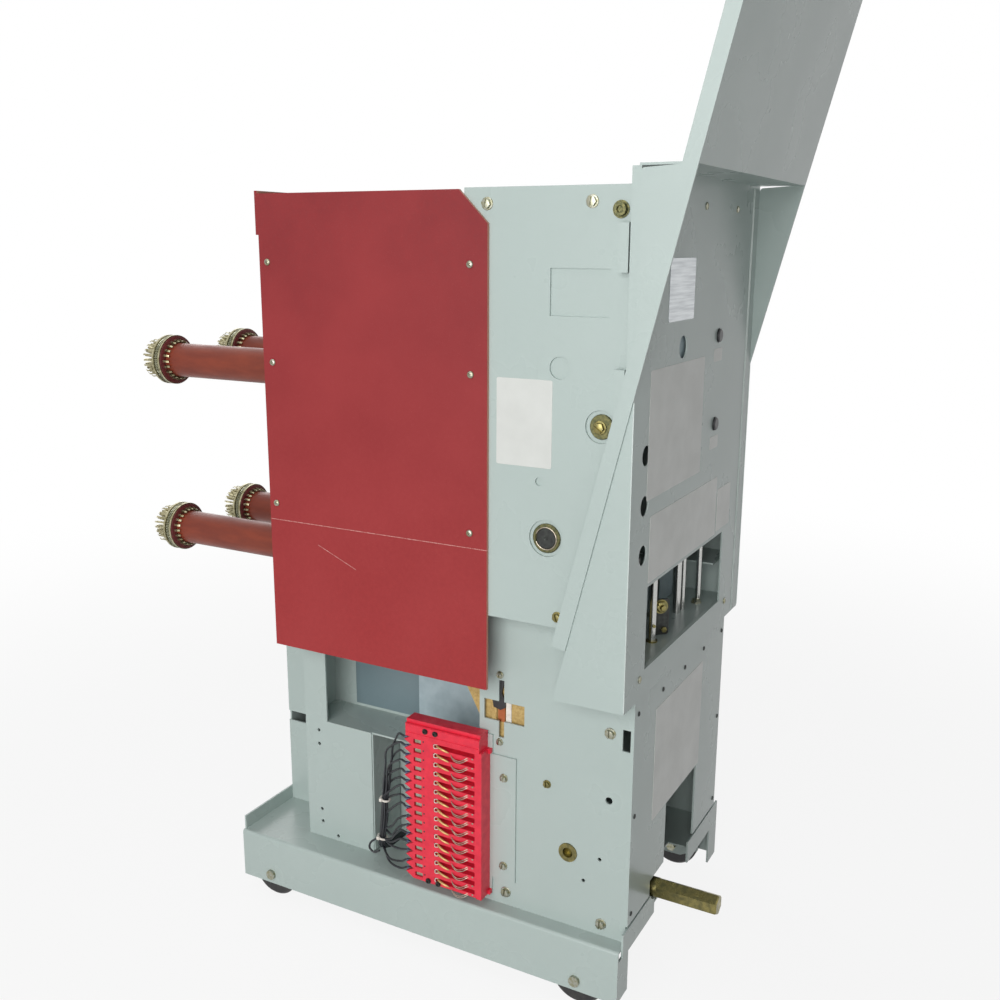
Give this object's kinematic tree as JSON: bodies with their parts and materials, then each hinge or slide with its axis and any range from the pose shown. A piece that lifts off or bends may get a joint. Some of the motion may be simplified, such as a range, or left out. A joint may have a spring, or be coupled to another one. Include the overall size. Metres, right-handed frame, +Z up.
{
  "type": "draw-out vacuum circuit breaker",
  "caption": "Wheeled draw-out medium-voltage vacuum breaker with folded grey housing, red insulating sheets, tulip contacts at the rear, a secondary block and a leaning front shield.",
  "frame": {"origin": "on the floor under the middle of the breaker, between the contact tips and the shield top", "axes": "+Z up, -Y the front with the covers and racking shaft, +Y the rear with the primary contacts, +X the right side seen from the front"},
  "size_m": [0.53, 1.048, 1.4819],
  "materials": {
    "grey_paint": "glossy light grey enamel on folded steel sheet",
    "red_sheet": "red glass-polyester sheet, satin",
    "red_plastic": "moulded red plastic",
    "red_sleeve": "red-brown insulating sleeve, satin",
    "black_cable": "black wire insulation",
    "black_plastic": "black moulded plastic",
    "black_tyre": "black solid tyre",
    "tan_board": "tan insulating board",
    "yellow_zinc": "yellow zinc plating",
    "zinc_plate": "bright zinc plating",
    "bright_steel": "ground steel",
    "ceramic": "white glazed ceramic",
    "copper": "copper block",
    "silver_plate": "silver-plated contact fingers"
  },
  "bodies": {
    "truck": {"axle_bolts": "zinc_plate", "base_pan": "grey_paint", "bore_bush": "yellow_zinc", "button_guide": "zinc_plate", "cover_cheeks": "grey_paint", "cover_spacers": "grey_paint", "harness": "black_cable", "interlock_bars": "tan_board", "interlock_bracket": "yellow_zinc", "interlock_lever": "black_plastic", "interlock_shaft": "bright_steel", "interrupters": "ceramic", "lower_cover": "grey_paint", "lower_rear_sheet": "grey_paint", "lower_side_left": "grey_paint", "lower_side_right": "grey_paint", "mechanism_shelf": "grey_paint", "operating_rods": "red_sleeve", "phase_barriers": "red_sheet", "pole_deck": "grey_paint", "post_insulators": "red_sleeve", "rails": "grey_paint", "rear_shelf": "grey_paint", "rear_side_plates": "grey_paint", "rear_strip": "red_sheet", "secondary_block": "red_plastic", "secondary_bracket": "grey_paint", "shaft_bearings": "zinc_plate", "shield_arms": "grey_paint", "shield_plate": "grey_paint", "side_barrier_left": "red_sheet", "side_barrier_right": "red_sheet", "stems_lower": "red_sleeve", "stems_upper": "red_sleeve", "terminals": "copper", "tower_rear": "grey_paint", "tower_sides": "grey_paint", "tulip_contacts_lower": "silver_plate", "tulip_contacts_upper": "silver_plate", "upper_cover_front": "grey_paint", "upper_floor": "grey_paint", "upper_liners": "grey_paint", "upper_rear_sheet": "grey_paint", "upper_side_left": "grey_paint", "upper_side_right": "grey_paint", "upper_top": "grey_paint", "wheel_brackets": "grey_paint"},
    "wheel_front_left": {"wheel_front_left": "black_tyre"},
    "wheel_front_right": {"wheel_front_right": "black_tyre"},
    "wheel_rear_left": {"wheel_rear_left": "black_tyre"},
    "wheel_rear_right": {"wheel_rear_right": "black_tyre"},
    "racking_shaft": {"racking_shaft": "yellow_zinc"},
    "button_upper": {"button_upper": "black_plastic"},
    "button_lower": {"button_lower": "black_plastic"}
  },
  "joints": [
    {"name": "wheel_front_left_spin", "type": "hinge", "parent": "truck", "child": "wheel_front_left", "pos_m": [-0.215, -0.31, 0.043], "axis": [1, 0, 0], "continuous": true},
    {"name": "wheel_front_right_spin", "type": "hinge", "parent": "truck", "child": "wheel_front_right", "pos_m": [0.215, -0.31, 0.043], "axis": [1, 0, 0], "continuous": true},
    {"name": "wheel_rear_left_spin", "type": "hinge", "parent": "truck", "child": "wheel_rear_left", "pos_m": [-0.215, 0.269, 0.043], "axis": [1, 0, 0], "continuous": true},
    {"name": "wheel_rear_right_spin", "type": "hinge", "parent": "truck", "child": "wheel_rear_right", "pos_m": [0.215, 0.269, 0.043], "axis": [1, 0, 0], "continuous": true},
    {"name": "racking_shaft_turn", "type": "hinge", "parent": "truck", "child": "racking_shaft", "pos_m": [-0.095, -0.35, 0.143], "axis": [0, 1, 0], "continuous": true},
    {"name": "button_upper_press", "type": "slide", "parent": "truck", "child": "button_upper", "axis": [0, 1, 0], "range_m": [0, 0.005], "stiffness_N_per_m": 500, "springref_m": -0.003},
    {"name": "button_lower_press", "type": "slide", "parent": "truck", "child": "button_lower", "axis": [0, 1, 0], "range_m": [0, 0.005], "stiffness_N_per_m": 500, "springref_m": -0.003}
  ]
}
